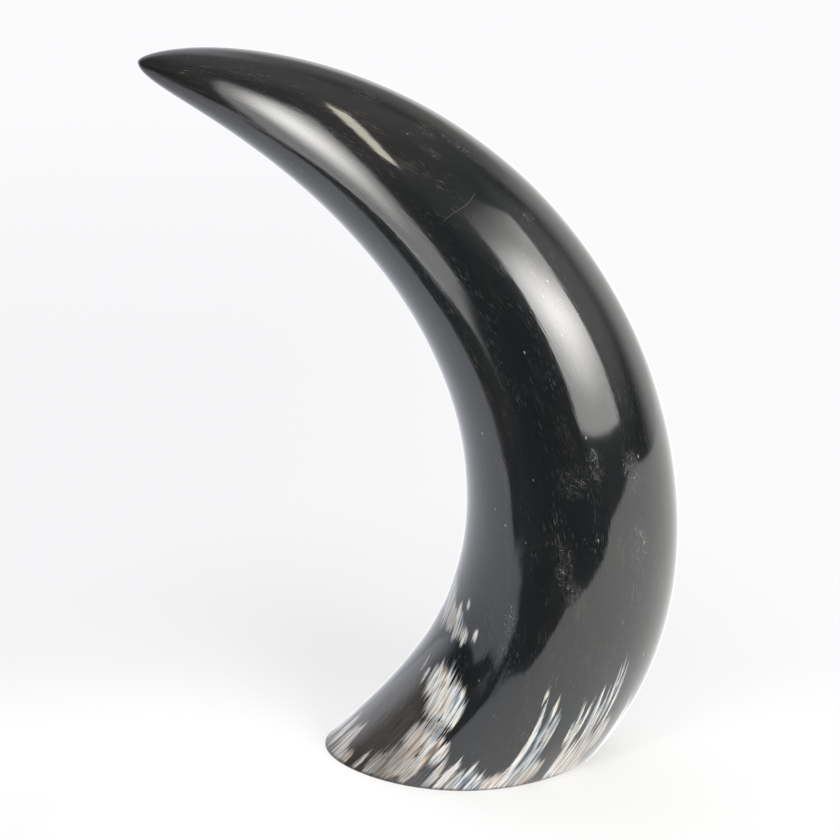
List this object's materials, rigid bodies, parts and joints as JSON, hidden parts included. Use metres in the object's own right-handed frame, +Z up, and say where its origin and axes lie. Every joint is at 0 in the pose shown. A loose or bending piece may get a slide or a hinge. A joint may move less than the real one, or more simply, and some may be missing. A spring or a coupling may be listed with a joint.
{
  "type": "buffalo horn",
  "caption": "Polished natural buffalo horn, crescent shaped, hollow at the root, sawn flat so that it stands upright on the cut as an ornament or a blank for carving.",
  "frame": {"origin": "On the floor under the middle of the horn, at the bottom centre of its bounding box.", "axes": "+Z is up, the bend lies in the XZ plane, the tip points towards -X and the observer stands at -Y."},
  "size_m": [0.1874, 0.072, 0.2619],
  "materials": {
    "horn": null
  },
  "bodies": {
    "root": {"horn": "horn"}
  },
  "joints": []
}
